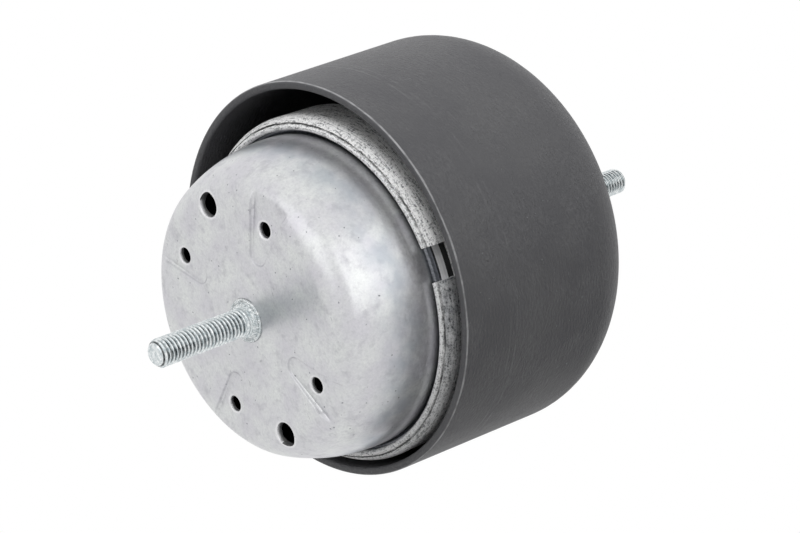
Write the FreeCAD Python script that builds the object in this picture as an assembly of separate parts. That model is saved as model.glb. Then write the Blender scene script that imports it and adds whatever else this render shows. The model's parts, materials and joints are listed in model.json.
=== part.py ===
import FreeCAD, Part
import math
import os

# Hydraulic engine mount: a zinc-plated can with a stud hangs under a rubber
# spring, and a bell-shaped steel cover over the spring carries the upper stud.
# Millimetres, +Z up. The origin is the centre of the can's lower face, at the
# foot of the lower stud. +X runs to one of the two large holes in that face,
# and +Y to the slot in the crimp ring.
# Profiles are drawn as (radius, height) and turned about the Z axis.

# Studs, the same thread at both ends
stud_d = 8.0
stud_length = 32.0
stud_chamfer = 1.2
stud_point_d = 5.6
collar_d = 12.5
collar_h = 1.6
collar_side = 0.4
collar_top_d = 9.4
collar_play = 0.05
stud_head_d = 22.0
stud_head_t = 3.0
upper_stud_grip = 22.0

# Bell-shaped cover
bell_rim_z = 28.0
bell_sheet = 2.3
bell_taper_deg = 1.5
bell_top_h = 42.6
bell_shoulder_r = 18.0
bell_top_slope_deg = 20.0
bell_offset_x = 3.0
crown_bend_r = 4.0
crown_gap = 0.6
seat_height = 123.6

# Crimp ring round the stack of rims
ring_gap = 1.6
ring_wall = 2.7
ring_roll_r = 4.2
bead_r = 0.8
bead_stand = 0.6
fold_w = 0.4
fold_depth = 0.5
lip_inner_gap = 0.4
upper_lip_t = 2.0
upper_lip_reach = 3.3
ring_top_r = 1.4
slot_width = 9.6
slot_rise = 4.4
slot_angle_deg = 90.9
rim_gap = 0.1

# Lower can
can_sheet = 2.0
can_flange_z = 28.1
can_flange_w = 1.2
can_mouth_r = 45.3
can_mouth_bend = 0.8
can_mouth_straight = 1.7
can_corner_r = 8.5
can_corner_turn_deg = 65.0
large_hole_d = 7.0
large_hole_inset = 12.4
small_hole_d = 4.5
small_hole_inset = 16.6
small_hole_angle_deg = 40.8
pad_length = 27.3
pad_nose_r = 3.0
pad_flare_deg = 13.0
pad_depth = 0.5
pad_slope_deg = 3.0
pad_wall = 1.4

# Diaphragm and the clamp ring under its rim
diaphragm_rim_t = 3.0
diaphragm_rim_w = 2.8
diaphragm_t = 1.5
diaphragm_side_gap = 1.3
diaphragm_drop = 11.5
diaphragm_bend_r = 2.5
fold_r = 4.5
fold_rise = 2.0
fold_top_r = 3.0
clamp_ring_t = 2.5

# Inertia track plates and the membrane between them
plate_flange_t = 2.5
plate_side_gap = 1.0
plate_body_drop = 6.6
channel_wall = 3.5
channel_w = 9.0
channel_depth = 6.8
channel_run_deg = 325.0
port_d = 7.0
membrane_land = 5.0
membrane_t = 3.0
membrane_play = 0.3
cage_floor_t = 3.0
grid_hole_d = 4.4
grid_pitch = 8.2
grid_row_count = 2
rivet_d = 3.0
rivet_head_d = 4.6
rivet_head_t = 1.0
rivet_count = 3

# Spring sleeve, rubber spring and core
sleeve_t = 2.2
sleeve_flange_w = 4.3
sleeve_bend_r = 4.0
sleeve_lean_deg = 78.0
sleeve_top_drop = 16.0
core_head_r = 15.5
core_head_h = 19.3
core_head_bevel = 1.5
core_shoulder_h = 6.0
core_cone_h = 30.0
core_top_r = 24.0
core_foot_r = 13.0
core_nose = 2.0
spring_top_sag = 7.0
spring_hollow = 5.2

# Heights and radii worked out from the sizes above
stack_r = can_mouth_r + can_mouth_bend + can_flange_w
bore_r = stack_r + rim_gap
ring_r = bore_r + ring_wall
lip_inner = can_mouth_r + can_mouth_bend + lip_inner_gap
bead_z = can_flange_z - bead_stand
bell_rim_r = ring_r + ring_gap + bell_offset_x + bell_sheet
large_hole_r = can_mouth_r - large_hole_inset
small_hole_r = can_mouth_r - small_hole_inset
pad_start_r = can_mouth_r - pad_length
diaphragm_side_r = can_mouth_r - can_sheet - diaphragm_side_gap
plate_body_r = diaphragm_side_r - diaphragm_t - plate_side_gap
channel_outer_r = plate_body_r - channel_wall
channel_inner_r = channel_outer_r - channel_w
recess_r = channel_inner_r - membrane_land
membrane_r = recess_r - membrane_play
can_flange_top = can_flange_z + can_sheet
clamp_top = can_flange_top + clamp_ring_t
rim_top = clamp_top + diaphragm_rim_t
lower_plate_top = rim_top + plate_flange_t
upper_plate_top = lower_plate_top + plate_flange_t
stack_top = upper_plate_top + sleeve_t
ring_top = stack_top + upper_lip_t
recess_depth = membrane_t + 2 * membrane_play
bell_wall_h = seat_height - bell_top_h - bell_rim_z
head_top = seat_height - bell_sheet
core_neck_z = head_top - core_head_h
core_top_z = core_neck_z - core_shoulder_h
core_foot_z = core_top_z - core_cone_h
sleeve_top_z = core_top_z - sleeve_top_drop
crown_r = core_head_r + bell_offset_x + crown_gap + bell_sheet
stud_tip_z = seat_height + stud_length

origin = FreeCAD.Vector(0, 0, 0)
up = FreeCAD.Vector(0, 0, 1)


def polar(radius, angle_deg):
    angle = math.radians(angle_deg)
    return (radius * math.cos(angle), radius * math.sin(angle))


def point(rz):
    return FreeCAD.Vector(rz[0], 0, rz[1])


def line(a, b):
    return Part.LineSegment(point(a), point(b)).toShape()


def arc(a, middle, b):
    return Part.Arc(point(a), point(middle), point(b)).toShape()


def polyline(points):
    return [line(a, b) for a, b in zip(points, points[1:])]


def turned(edges, angle_deg=360.0):
    """Solid made by turning a closed outline of (radius, height) edges about Z."""
    face = Part.Face(Part.Wire(edges))
    return face.revolve(origin, up, angle_deg)


def cylinder(radius, z0, z1, x=0.0, y=0.0):
    return Part.makeCylinder(radius, z1 - z0, FreeCAD.Vector(x, y, z0))


def walk(start, heading_deg, steps):
    """Edges and end point of a path of ("line", length) and ("arc", radius, turn) steps.

    A turn is in degrees and is positive to the left.
    """
    edges = []
    here = start
    heading = heading_deg
    for step in steps:
        if step[0] == "line":
            ahead = polar(step[1], heading)
            there = (here[0] + ahead[0], here[1] + ahead[1])
            edges.append(line(here, there))
        else:
            side = math.copysign(90.0, step[2])
            out = polar(step[1], heading + side)
            centre = (here[0] + out[0], here[1] + out[1])
            halfway = polar(step[1], heading - side + step[2] / 2)
            end = polar(step[1], heading - side + step[2])
            middle = (centre[0] + halfway[0], centre[1] + halfway[1])
            there = (centre[0] + end[0], centre[1] + end[1])
            edges.append(arc(here, middle, there))
            heading += step[2]
        here = there
    return edges, here


def sheet(start, heading_deg, steps, thickness):
    """Turned shell whose face follows the path, with its metal on the left.

    A negative thickness puts the metal on the right.
    """
    face_edges, face_end = walk(start, heading_deg, steps)
    shift = polar(thickness, heading_deg + 90)
    back_start = (start[0] + shift[0], start[1] + shift[1])
    back_steps = [s if s[0] == "line" else (s[0], s[1] - math.copysign(1, s[2]) * thickness, s[2])
                  for s in steps]
    back_edges, back_end = walk(back_start, heading_deg, back_steps)
    outline = face_edges + [line(face_end, back_end)] + back_edges[::-1]
    outline.append(line(back_start, start))
    return turned(Part.__sortEdges__(outline))


def threaded_end(z_foot, z_tip):
    """Plain shank at the thread's outer diameter, with a chamfered tip."""
    away = math.copysign(1, z_tip - z_foot)
    z_chamfer = z_tip - away * stud_chamfer
    radius = stud_d / 2
    return turned(polyline([(0, z_foot), (radius, z_foot), (radius, z_chamfer),
                            (stud_point_d / 2, z_tip), (0, z_tip), (0, z_foot)]))


def collar(z_foot, z_seat):
    """Round shoulder of a stud, from its foot through the sheet, ending in a cone past the seat."""
    radius = collar_d / 2
    away = math.copysign(1, z_seat - z_foot)
    z_top = z_seat + away * collar_h
    return turned(polyline([(0, z_foot), (radius, z_foot), (radius, z_seat + away * collar_side),
                            (collar_top_d / 2, z_top), (0, z_top), (0, z_foot)]))


def collar_hole(z_foot, z_seat):
    """Cutter for the hole in the sheet that a stud's shoulder passes through."""
    return cylinder(collar_d / 2 + collar_play, min(z_foot, z_seat), max(z_foot, z_seat))


def lower_stud():
    head = cylinder(stud_head_d / 2, can_sheet, can_sheet + stud_head_t)
    shank = threaded_end(can_sheet, -stud_length)
    return head.fuse([shank, collar(can_sheet, 0.0)]).removeSplitter()


def upper_stud():
    shank = threaded_end(head_top - upper_stud_grip, stud_tip_z)
    return shank.fuse(collar(head_top, seat_height)).removeSplitter()


def pad_tongue(grow, thickness):
    """Tongue that widens outward from a round nose, lying along +X from z = 0 up."""
    nose_r = pad_nose_r + grow
    nose_x = pad_start_r + pad_nose_r
    side = math.radians(90 + pad_flare_deg)
    touch = FreeCAD.Vector(nose_x + nose_r * math.cos(side), nose_r * math.sin(side), 0)
    run = can_mouth_r - touch.x
    far = FreeCAD.Vector(can_mouth_r, touch.y + run * math.tan(math.radians(pad_flare_deg)), 0)
    nose = FreeCAD.Vector(nose_x - nose_r, 0, 0)
    low_touch = FreeCAD.Vector(touch.x, -touch.y, 0)
    low_far = FreeCAD.Vector(far.x, -far.y, 0)
    edges = [Part.Arc(touch, nose, low_touch).toShape(),
             Part.LineSegment(low_touch, low_far).toShape(),
             Part.LineSegment(low_far, far).toShape(),
             Part.LineSegment(far, touch).toShape()]
    return Part.Face(Part.Wire(edges)).extrude(FreeCAD.Vector(0, 0, thickness))


def sloped(tongue, z_at_start):
    """Tongue tilted up toward its far end, at a height measured where it starts."""
    pivot = FreeCAD.Vector(pad_start_r, 0, 0)
    tongue.rotate(pivot, FreeCAD.Vector(0, 1, 0), -pad_slope_deg)
    tongue.translate(FreeCAD.Vector(0, 0, z_at_start))
    return tongue


def can_steps():
    turn = can_corner_turn_deg
    corner = math.radians(turn)
    wall_rise = can_flange_z - can_mouth_bend - can_mouth_straight
    wall_rise -= can_corner_r * (1 - math.cos(corner))
    wall_r = wall_rise / math.cos(corner)
    face_r = can_mouth_r - wall_r * (1 - math.sin(corner)) - can_corner_r * math.sin(corner)
    return [("line", face_r), ("arc", can_corner_r, turn), ("arc", wall_r, 90 - turn),
            ("line", can_mouth_straight), ("arc", can_mouth_bend, -90), ("line", can_flange_w)]


def lower_can():
    shell = sheet((0, 0), 0, can_steps(), can_sheet)
    outer_edges, end = walk((0, 0), 0, can_steps())
    outline = outer_edges + polyline([end, (0, end[1]), (0, 0)])
    envelope = turned(outline)
    angles = [small_hole_angle_deg, 180 - small_hole_angle_deg,
              180 + small_hole_angle_deg, -small_hole_angle_deg]
    for angle in angles:
        back = sloped(pad_tongue(pad_wall, can_sheet), pad_depth)
        back.rotate(origin, up, angle)
        shell = shell.fuse(back.common(envelope))
    for angle in angles:
        press = sloped(pad_tongue(0, -2 * can_sheet), pad_depth)
        press.rotate(origin, up, angle)
        x, y = polar(small_hole_r, angle)
        hole = cylinder(small_hole_d / 2, -can_sheet, 3 * can_sheet, x, y)
        shell = shell.cut(press).cut(hole)
    for x in (large_hole_r, -large_hole_r):
        shell = shell.cut(cylinder(large_hole_d / 2, -can_sheet, 2 * can_sheet, x))
    return shell.cut(collar_hole(2 * can_sheet, -can_sheet)).removeSplitter()


def crimp_ring():
    """Ring with an upper lip, a wall rounded at its foot and a bead rolled over the can's flange."""
    bead_out = lip_inner + 2 * bead_r
    roll_foot = bead_out + fold_w
    roll_centre = ring_r - ring_roll_r
    roll_tilt = math.acos((roll_foot - roll_centre) / ring_roll_r)
    roll_rise = ring_roll_r * math.sin(roll_tilt)
    roll_middle = (roll_centre + ring_roll_r * math.cos(roll_tilt / 2),
                   bead_z + roll_rise - ring_roll_r * math.sin(roll_tilt / 2))
    round_45 = ring_top_r * (1 - math.sqrt(0.5))
    edges = [arc((lip_inner, bead_z), (lip_inner + bead_r, bead_z - bead_r), (bead_out, bead_z))]
    edges += polyline([(bead_out, bead_z), (bead_out + fold_w / 2, bead_z + fold_depth),
                       (roll_foot, bead_z)])
    edges.append(arc((roll_foot, bead_z), roll_middle, (ring_r, bead_z + roll_rise)))
    edges.append(line((ring_r, bead_z + roll_rise), (ring_r, ring_top - ring_top_r)))
    edges.append(arc((ring_r, ring_top - ring_top_r), (ring_r - round_45, ring_top - round_45),
                     (ring_r - ring_top_r, ring_top)))
    edges += polyline([(ring_r - ring_top_r, ring_top), (bore_r - upper_lip_reach, ring_top),
                       (bore_r - upper_lip_reach, stack_top), (bore_r, stack_top),
                       (bore_r, can_flange_z), (lip_inner, can_flange_z), (lip_inner, bead_z)])
    ring = turned(edges)
    slot = Part.makeBox(ring_wall + ring_r - can_mouth_r, slot_width, can_flange_top + slot_rise,
                        FreeCAD.Vector(can_mouth_r, -slot_width / 2, 0))
    slot.rotate(origin, up, slot_angle_deg)
    return ring.cut(slot)


def bell_cover():
    lean = 90 - bell_taper_deg
    slope = 180 - bell_top_slope_deg
    wall = ("line", bell_wall_h / math.sin(math.radians(lean)))
    shoulder = ("arc", bell_shoulder_r, slope - lean)
    bend = ("arc", crown_bend_r, 90 - slope)
    rim = (bell_rim_r, bell_rim_z)
    shoulder_end = walk(rim, lean, [wall, shoulder])[1]
    bend_reach = crown_bend_r * (1 - math.sin(math.radians(bell_top_slope_deg)))
    top_run = (shoulder_end[0] - bend_reach - crown_r) / math.cos(math.radians(bell_top_slope_deg))
    crown_foot = walk(shoulder_end, slope, [("line", top_run), bend])[1]
    crown_rise = seat_height - crown_bend_r - crown_foot[1]
    steps = [wall, shoulder, ("line", top_run), bend, ("line", crown_rise),
             ("arc", crown_bend_r, 90), ("line", crown_r - crown_bend_r)]
    bell = sheet(rim, lean, steps, bell_sheet)
    bell.translate(FreeCAD.Vector(bell_offset_x, 0, 0))
    return bell.cut(collar_hole(head_top - bell_sheet, seat_height + bell_sheet))


def core():
    body = turned(polyline([(0, core_foot_z - core_nose), (core_foot_r - core_nose, core_foot_z - core_nose),
                            (core_foot_r, core_foot_z), (core_top_r, core_top_z),
                            (core_head_r, core_neck_z), (core_head_r, head_top - core_head_bevel),
                            (core_head_r - core_head_bevel, head_top), (0, head_top),
                            (0, core_foot_z - core_nose)]))
    return body.cut(cylinder(stud_d / 2, head_top - upper_stud_grip, head_top))


def sleeve_steps():
    turn = sleeve_lean_deg - 180
    foot = ("line", sleeve_flange_w)
    bend = ("arc", sleeve_bend_r, turn)
    bend_end = walk((stack_r, upper_plate_top), 180, [foot, bend])[1]
    wall = ("line", (sleeve_top_z - bend_end[1]) / math.sin(math.radians(sleeve_lean_deg)))
    return [foot, bend, wall]


def spring_sleeve():
    return sheet((stack_r, upper_plate_top), 180, sleeve_steps(), -sleeve_t)


def bulged(a, b, depth):
    """Arc from a to b that bulges to the left of its chord by depth."""
    chord = math.hypot(b[0] - a[0], b[1] - a[1])
    aside = (-(b[1] - a[1]) * depth / chord, (b[0] - a[0]) * depth / chord)
    return arc(a, ((a[0] + b[0]) / 2 + aside[0], (a[1] + b[1]) / 2 + aside[1]), b)


def main_spring():
    steps = sleeve_steps()
    bond_foot = walk((stack_r, upper_plate_top), 180, steps[:2])[1]
    bond_top = walk((stack_r, upper_plate_top), 180, steps)[1]
    core_edge = (core_top_r, core_top_z)
    core_toe = (core_foot_r, core_foot_z)
    return turned([line(bond_foot, bond_top), bulged(bond_top, core_edge, spring_top_sag),
                   line(core_edge, core_toe), bulged(core_toe, bond_foot, spring_hollow)])


def grid_holes(z0, z1):
    holes = [cylinder(grid_hole_d / 2, z0, z1)]
    for row in range(1, grid_row_count + 1):
        for i in range(6 * row):
            x, y = polar(row * grid_pitch, 60.0 * i / row)
            holes.append(cylinder(grid_hole_d / 2, z0, z1, x, y))
    return holes


def rivet_places():
    radius = (recess_r + channel_inner_r) / 2
    return [polar(radius, 360.0 * i / rivet_count) for i in range(rivet_count)]


def track_plate_lower():
    bottom = rim_top - plate_body_drop
    recess_floor = lower_plate_top - recess_depth
    cage_floor = recess_floor - cage_floor_t
    body = turned(polyline([(0, cage_floor), (recess_r, cage_floor), (recess_r, bottom),
                            (plate_body_r, bottom), (plate_body_r, rim_top),
                            (stack_r, rim_top), (stack_r, lower_plate_top),
                            (recess_r, lower_plate_top), (recess_r, recess_floor),
                            (0, recess_floor), (0, cage_floor)]))
    floor = lower_plate_top - channel_depth
    channel = turned(polyline([(channel_inner_r, floor), (channel_outer_r, floor),
                               (channel_outer_r, lower_plate_top), (channel_inner_r, lower_plate_top),
                               (channel_inner_r, floor)]), channel_run_deg)
    x, y = polar((channel_inner_r + channel_outer_r) / 2, channel_run_deg - port_angle())
    outlet = cylinder(port_d / 2, bottom, lower_plate_top, x, y)
    rivet_holes = [cylinder(rivet_d / 2, bottom, lower_plate_top, px, py) for px, py in rivet_places()]
    return body.cut([channel, outlet] + grid_holes(cage_floor, recess_floor) + rivet_holes)


def port_angle():
    """Angle from an end of the channel to the centre of its port."""
    middle_r = (channel_inner_r + channel_outer_r) / 2
    return math.degrees(port_d / middle_r)


def track_plate_upper():
    disc = cylinder(stack_r, lower_plate_top, upper_plate_top)
    x, y = polar((channel_inner_r + channel_outer_r) / 2, port_angle())
    inlet = cylinder(port_d / 2, lower_plate_top, upper_plate_top, x, y)
    rivet_holes = [cylinder(rivet_d / 2, lower_plate_top, upper_plate_top, px, py)
                   for px, py in rivet_places()]
    return disc.cut([inlet] + grid_holes(lower_plate_top, upper_plate_top) + rivet_holes)


def decoupler_membrane():
    z0 = lower_plate_top - membrane_play - membrane_t
    return cylinder(membrane_r, z0, z0 + membrane_t)


def plate_rivets():
    z_low = rim_top - plate_body_drop
    rivets = []
    for x, y in rivet_places():
        shank = cylinder(rivet_d / 2, z_low - rivet_head_t, upper_plate_top + rivet_head_t, x, y)
        low_head = cylinder(rivet_head_d / 2, z_low - rivet_head_t, z_low, x, y)
        top_head = cylinder(rivet_head_d / 2, upper_plate_top, upper_plate_top + rivet_head_t, x, y)
        rivets.append(shank.fuse([low_head, top_head]).removeSplitter())
    return Part.makeCompound(rivets)


def diaphragm():
    rim_inner = stack_r - diaphragm_rim_w
    side = rim_inner - diaphragm_side_r
    skin_z = clamp_top + diaphragm_t / 2
    fold_inner = diaphragm_side_r - 2 * fold_r - fold_top_r
    steps = [("line", side - diaphragm_bend_r + diaphragm_t), ("arc", diaphragm_bend_r, 90),
             ("line", diaphragm_drop), ("arc", fold_r, -180), ("line", fold_rise),
             ("arc", fold_top_r, 90), ("line", fold_inner)]
    skin = sheet((rim_inner + diaphragm_t, skin_z), 180, steps, -diaphragm_t)
    rim = turned(polyline([(rim_inner, clamp_top), (stack_r, clamp_top), (stack_r, rim_top),
                           (rim_inner, rim_top), (rim_inner, clamp_top)]))
    return rim.fuse(skin).removeSplitter()


def clamp_ring():
    rim_inner = stack_r - diaphragm_rim_w
    return turned(polyline([(rim_inner, can_flange_top), (stack_r, can_flange_top), (stack_r, clamp_top),
                            (rim_inner, clamp_top), (rim_inner, can_flange_top)]))


nodes = {
    "lower_can": lower_can,
    "lower_stud": lower_stud,
    "crimp_ring": crimp_ring,
    "bell_cover": bell_cover,
    "core": core,
    "upper_stud": upper_stud,
    "main_spring": main_spring,
    "spring_sleeve": spring_sleeve,
    "track_plate_upper": track_plate_upper,
    "track_plate_lower": track_plate_lower,
    "decoupler_membrane": decoupler_membrane,
    "plate_rivets": plate_rivets,
    "diaphragm": diaphragm,
    "clamp_ring": clamp_ring,
}

os.makedirs("parts", exist_ok=True)
for name, make in nodes.items():
    shape = make()
    shape.exportStep("parts/" + name + ".step")
    box = shape.BoundBox
    print(name, "solids", len(shape.Solids), "volume", round(shape.Volume), "valid", shape.isValid(),
          "z", round(box.ZMin, 2), round(box.ZMax, 2), "r", round(box.XMax, 2))
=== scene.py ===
import json
import math

import bpy
import numpy as np
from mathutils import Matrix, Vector


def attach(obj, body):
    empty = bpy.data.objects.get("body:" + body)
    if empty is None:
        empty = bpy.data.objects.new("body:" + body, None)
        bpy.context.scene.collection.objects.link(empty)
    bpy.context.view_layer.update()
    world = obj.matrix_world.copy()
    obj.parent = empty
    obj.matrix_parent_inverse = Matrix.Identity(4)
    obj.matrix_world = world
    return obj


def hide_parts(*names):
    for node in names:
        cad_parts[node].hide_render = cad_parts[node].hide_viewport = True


# Hydraulic engine mount seen from below: a zinc-plated can with its stud, the rolled ring round
# the can's mouth, and the coated cover over the rubber spring. Lengths are in millimetres, in the
# frame of the CAD model, and turn to metres where a mesh is made.

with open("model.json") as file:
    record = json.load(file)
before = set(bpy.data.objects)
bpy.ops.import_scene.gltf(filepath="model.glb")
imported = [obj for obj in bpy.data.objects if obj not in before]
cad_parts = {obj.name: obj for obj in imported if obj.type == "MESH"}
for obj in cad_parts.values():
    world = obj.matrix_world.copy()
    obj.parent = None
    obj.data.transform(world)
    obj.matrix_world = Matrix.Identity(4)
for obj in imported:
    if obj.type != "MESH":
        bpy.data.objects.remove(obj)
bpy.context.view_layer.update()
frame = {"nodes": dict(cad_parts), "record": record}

MM = 0.001

# Studs
STUD_D = 8.0
STUD_LENGTH = 32.0
THREAD_PITCH = 1.25
THREAD_DEPTH = 0.68
STUD_CHAMFER = 1.2
STUD_POINT_D = 5.6
COLLAR_D = 12.5
COLLAR_H = 1.6
COLLAR_SIDE = 0.4
COLLAR_PLAY = 0.05
STUD_HEAD_D = 22.0
STUD_HEAD_T = 3.0
UPPER_STUD_GRIP = 22.0

# Lower can
CAN_SHEET = 2.0
CAN_FLANGE_Z = 28.1
CAN_FLANGE_W = 1.2
CAN_LIP_T = 0.7
CAN_MOUTH_R = 45.3
CAN_MOUTH_BEND = 0.8
CAN_MOUTH_STRAIGHT = 1.7
CAN_CORNER_R = 8.5
CAN_CORNER_TURN = 65.0
LARGE_HOLE_R = 32.9
LARGE_HOLE_D = 7.0
SMALL_HOLE_R = 28.7
SMALL_HOLE_D = 4.5
SMALL_HOLE_ANGLE = 40.8
PAD_START_R = 18.0
PAD_NOSE_R = 3.0
PAD_FLARE = 13.0
PAD_DEPTH = 0.5
PAD_SLOPE = 3.0
PAD_WALL = 1.4

# Crimp ring
RING_R = 50.1
RING_BORE_R = 47.4
RING_ROLL_R = 4.2
RING_LIP_INNER_R = 46.5
RING_TOP = 44.8
RING_TOP_R = 1.4
RING_STACK_TOP = 42.8
BEAD_R = 0.8
BEAD_Z = 27.5
FOLD_W = 0.4
FOLD_DEPTH = 0.5
FOLD_R = RING_LIP_INNER_R + 2 * BEAD_R + FOLD_W / 2
RING_UPPER_LIP = 3.3
SLOT_WIDTH = 9.6
SLOT_TOP = 34.5
SLOT_REACH = (44.0, 58.0)
SLOT_ANGLE = 90.9

# Cover
BELL_RIM_R = 57.0
BELL_RIM_Z = 28.0
BELL_SHEET = 2.3
BELL_TAPER = 1.5
BELL_WALL_H = 53.0
BELL_SHOULDER_R = 18.0
BELL_SLOPE = 20.0
BELL_OFFSET_X = 3.0
DRAW_LINES_Z = (44.6, 46.9)
CROWN_R = 21.4
CROWN_BEND_R = 4.0
SEAT_Z = 123.6

# Camera, fitted to the photograph: place in millimetres, turn in degrees, lens in millimetres
CAMERA_PLACE = (29.67, 503.86, -376.61)
CAMERA_TURN = (157.633, -45.111, 116.651)
CAMERA_LENS = 104.36
SENSOR = 36.0

# Stage, in metres
FLOOR_Z = -2.4
FLOOR_HALF = 12.0
CARD_FROM, CARD_TO = 100, 208
CARD_LOW, CARD_HIGH = 0.40, 0.98
AIM = (0.0, 0.0, 0.06)


def polar(radius, degrees):
    """Point at a radius and an angle: (r cos a, r sin a)."""
    return np.array([radius * math.cos(math.radians(degrees)), radius * math.sin(math.radians(degrees))])


def walk(start, heading, steps, pitch=0.4):
    """Points about a pitch apart on a path of ("line", length) and ("arc", radius, turn) steps.

    A line goes on along the heading. An arc turns about the centre one radius to the side of its
    turn, which is positive to the left.
    """
    here = np.array(start, float)
    runs = [here[None]]
    for step in steps:
        if step[0] == "line":
            count = max(1, math.ceil(step[1] / pitch))
            reach = np.linspace(0, step[1], count + 1)[1:, None]
            run = here + reach * polar(1, heading)
        else:
            side = math.copysign(90, step[2])
            centre = here + polar(step[1], heading + side)
            bend = math.radians(abs(step[2]))
            count = max(math.ceil(step[1] * bend / pitch), math.ceil(bend / 0.12))
            turn = np.radians(heading - side + np.linspace(0, step[2], count + 1)[1:])
            run = centre + step[1] * np.stack([np.cos(turn), np.sin(turn)], axis=1)
            heading += step[2]
        runs.append(run)
        here = run[-1]
    return np.concatenate(runs)


def sheet_outline(start, heading, steps, thickness, pitch=0.4):
    """Closed outline of a sheet: the path, then back along the same path offset to its left."""
    back_start = np.array(start) + polar(thickness, heading + 90)
    back_steps = [s if s[0] == "line" else (s[0], s[1] - math.copysign(thickness, s[2]), s[2])
                  for s in steps]
    return np.concatenate([walk(start, heading, steps, pitch),
                           walk(back_start, heading, back_steps, pitch)[::-1]])


def softened(outline, radius, sharp=40.0, rounds=5):
    """Closed outline with each corner sharper than a limit replaced by an arc of one radius.

    The arc touches both sides at radius * tan(turn / 2) from the corner, and the points nearer
    than that are dropped.
    """
    ahead = np.roll(outline, -1, axis=0) - outline
    length = np.hypot(*ahead.T)
    outline = outline[length > 1e-6]
    ahead = np.roll(outline, -1, axis=0) - outline
    length = np.hypot(*ahead.T)
    heading = np.arctan2(ahead[:, 1], ahead[:, 0])
    turn = (heading - np.roll(heading, 1) + math.pi) % (2 * math.pi) - math.pi
    along = np.concatenate([[0], np.cumsum(length)[:-1]])
    total = length.sum()
    keep = np.ones(len(outline), bool)
    added = []
    for corner in np.nonzero(np.abs(turn) > math.radians(sharp))[0]:
        reach = radius * math.tan(abs(turn[corner]) / 2)
        gap = np.abs((along - along[corner] + total / 2) % total - total / 2)
        keep &= gap >= reach
        start_heading = heading[corner] - turn[corner]
        first = outline[corner] - reach * np.array([math.cos(start_heading), math.sin(start_heading)])
        side = math.copysign(math.pi / 2, turn[corner])
        centre = first + radius * np.array([math.cos(start_heading + side),
                                            math.sin(start_heading + side)])
        share = np.linspace(0, 1, rounds + 1)
        angle = start_heading - side + turn[corner] * share
        arc = centre + radius * np.stack([np.cos(angle), np.sin(angle)], axis=1)
        place = along[corner] + reach * (2 * share - 1)
        added.append(np.column_stack([place % total, arc]))
    table = np.concatenate([np.column_stack([along[keep], outline[keep]])] + added)
    return table[np.argsort(table[:, 0], kind="stable")][:, 1:]


def turned(outline, columns):
    """Grid of points of an outline of (radius, height) turned about Z: (r cos a, r sin a, z)."""
    angle = np.linspace(0, 2 * math.pi, columns, endpoint=False)
    radius, height = outline[:, 0, None], outline[:, 1, None]
    return np.stack([radius * np.cos(angle), radius * np.sin(angle), height + 0 * angle], axis=-1)


def skin(name, grid, closed=True, sharp=40.0):
    """Object with quads between the rows and columns of a grid of points in millimetres.

    Columns run round and rows along the outline. The last row of a closed outline joins the
    first; an open outline starts and ends on the axis, and each end is one point.
    """
    rows, columns = grid.shape[:2]
    if closed:
        points = grid.reshape(-1, 3)
        number = np.arange(rows * columns).reshape(rows, columns)
        lower, upper = number, np.roll(number, -1, axis=0)
        fans = []
    else:
        points = np.concatenate([grid[1:-1].reshape(-1, 3), grid[0, :1], grid[-1, :1]])
        number = np.arange((rows - 2) * columns).reshape(rows - 2, columns)
        lower, upper = number[:-1], number[1:]
        first, last = number[0], number[-1]
        foot = np.full(columns, len(points) - 2)
        tip = np.full(columns, len(points) - 1)
        fans = (np.stack([foot, np.roll(first, -1), first], axis=-1).tolist()
                + np.stack([last, np.roll(last, -1), tip], axis=-1).tolist())
    quads = np.stack([lower, np.roll(lower, -1, axis=1), np.roll(upper, -1, axis=1), upper], axis=-1)
    mesh = bpy.data.meshes.new(name)
    mesh.from_pydata((points * MM).tolist(), [], quads.reshape(-1, 4).tolist() + fans)
    mesh.shade_smooth()
    mesh.set_sharp_from_angle(angle=math.radians(sharp))
    piece = bpy.data.objects.new(name, mesh)
    bpy.context.scene.collection.objects.link(piece)
    return piece


def cut(piece, cutters, sharp=40.0):
    """Piece with cutters taken out, as one plain mesh."""
    for cutter in cutters:
        step = piece.modifiers.new("cut", "BOOLEAN")
        step.operation = "DIFFERENCE"
        step.solver = "EXACT"
        step.object = cutter
    held = piece.evaluated_get(bpy.context.evaluated_depsgraph_get())
    mesh = bpy.data.meshes.new_from_object(held)
    mesh.name = piece.name
    piece.modifiers.clear()
    whole = piece.data
    piece.data = mesh
    bpy.data.meshes.remove(whole)
    for cutter in cutters:
        bpy.data.objects.remove(cutter)
    mesh.shade_smooth()
    mesh.set_sharp_from_angle(angle=math.radians(sharp))
    return piece


# Materials

def srgb(code):
    """Linear colour of an sRGB hex code."""
    parts = [int(code[i:i + 2], 16) / 255 for i in (1, 3, 5)]
    linear = [c / 12.92 if c <= 0.04045 else ((c + 0.055) / 1.055) ** 2.4 for c in parts]
    return (*linear, 1.0)


def add(tree, kind, *values, **settings):
    """Add a node and give its first output.

    Values go to its sockets in their order, and a setting with a capital to the socket of that
    name: a number, a vector, a colour code or an output. The other settings are its properties.
    """
    node = tree.nodes.new("ShaderNode" + kind)
    given = list(zip(node.inputs, values))
    for key, value in settings.items():
        if key[0].isupper():
            given.append((node.inputs[key.replace("_", " ")], value))
        else:
            setattr(node, key, value)
    for socket, value in given:
        if isinstance(value, bpy.types.NodeSocket):
            tree.links.new(value, socket)
        else:
            socket.default_value = srgb(value) if isinstance(value, str) else value
    return node.outputs[0] if node.outputs else None


def new_finish(name, **shader_values):
    """Material with its shader and its Object coordinates, in metres."""
    finish = bpy.data.materials.new(name)
    finish.use_nodes = True
    tree = finish.node_tree
    tree.nodes.clear()
    surface = add(tree, "BsdfPrincipled", **shader_values)
    add(tree, "OutputMaterial", surface)
    place = add(tree, "TexCoord").node.outputs["Object"]
    return finish, tree, surface.node, place


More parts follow.
